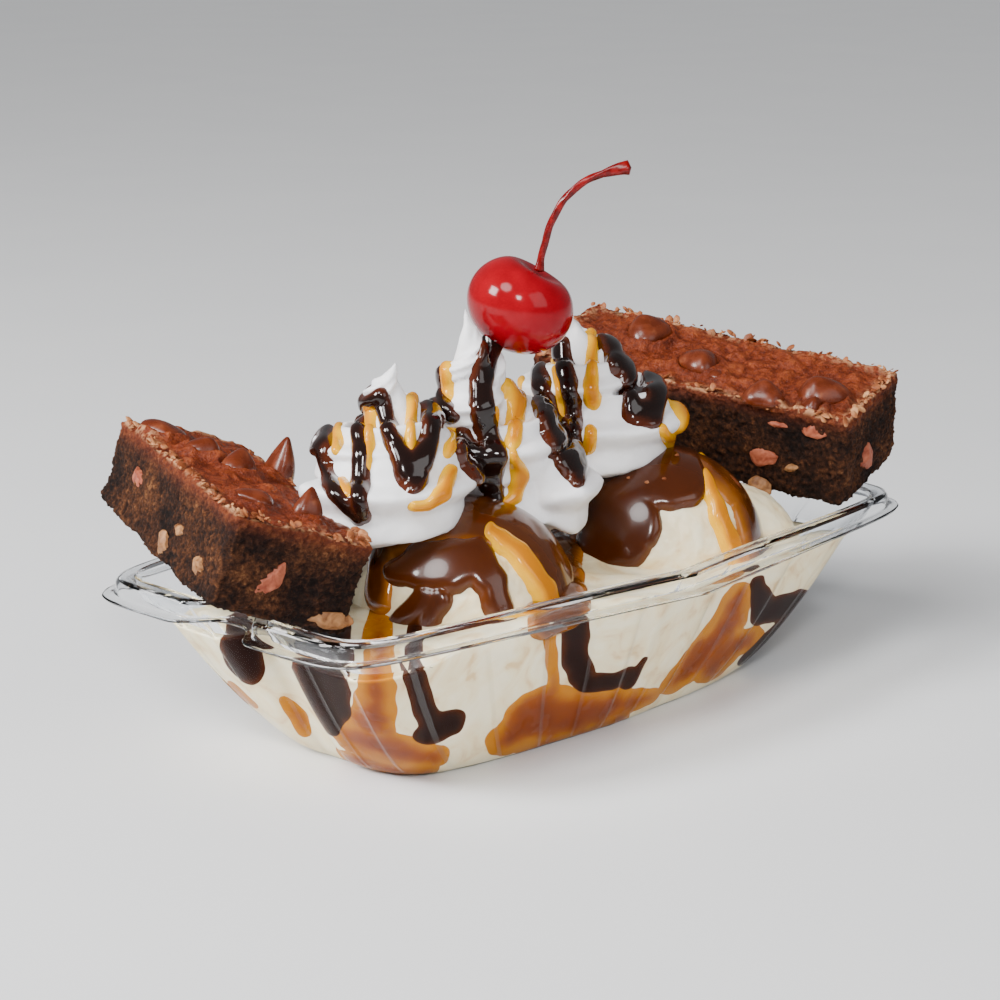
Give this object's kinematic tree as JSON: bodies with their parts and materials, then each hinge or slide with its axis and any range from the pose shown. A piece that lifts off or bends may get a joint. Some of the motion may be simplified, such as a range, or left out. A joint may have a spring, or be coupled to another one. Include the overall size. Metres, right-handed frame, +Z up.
{
  "type": "brownie sundae",
  "caption": "Brownie sundae in a clear pleated boat dish: vanilla scoops, brownie bars across both ends, piped cream, fudge and caramel sauce, and a cherry on top.",
  "frame": {"origin": "centre of the dish's flat base, on the surface it stands on", "axes": "+Z up, out of the base through the cherry; +X along the dish's long axis, towards the bar with the larger thickness; +Y across the dish, to its far side"},
  "size_m": [0.2033, 0.1146, 0.1237],
  "materials": {
    "clear_plastic": "clear, polished, thin thermoformed plastic",
    "vanilla": "matt to satin, soft ice cream",
    "caramel": "glossy, syrupy",
    "fudge": "glossy, syrupy",
    "brownie": "rough, crumbly, with a dull crust",
    "whipped_cream": "satin, soft",
    "cherry_red": "glossy, wet"
  },
  "bodies": {
    "root": {"dish": "clear_plastic", "vanilla_bed": "vanilla", "caramel_pool": "caramel", "fudge_left": "fudge", "fudge_end": "fudge", "fudge_middle": "fudge", "fudge_right": "fudge", "caramel_left": "caramel", "caramel_right": "caramel", "scoop_left": "vanilla", "scoop_right": "vanilla", "scoop_end": "vanilla", "brownie_left": "brownie", "brownie_right": "brownie", "whipped_cream": "whipped_cream", "cherry": "cherry_red", "cherry_stem": "cherry_red"}
  },
  "joints": []
}
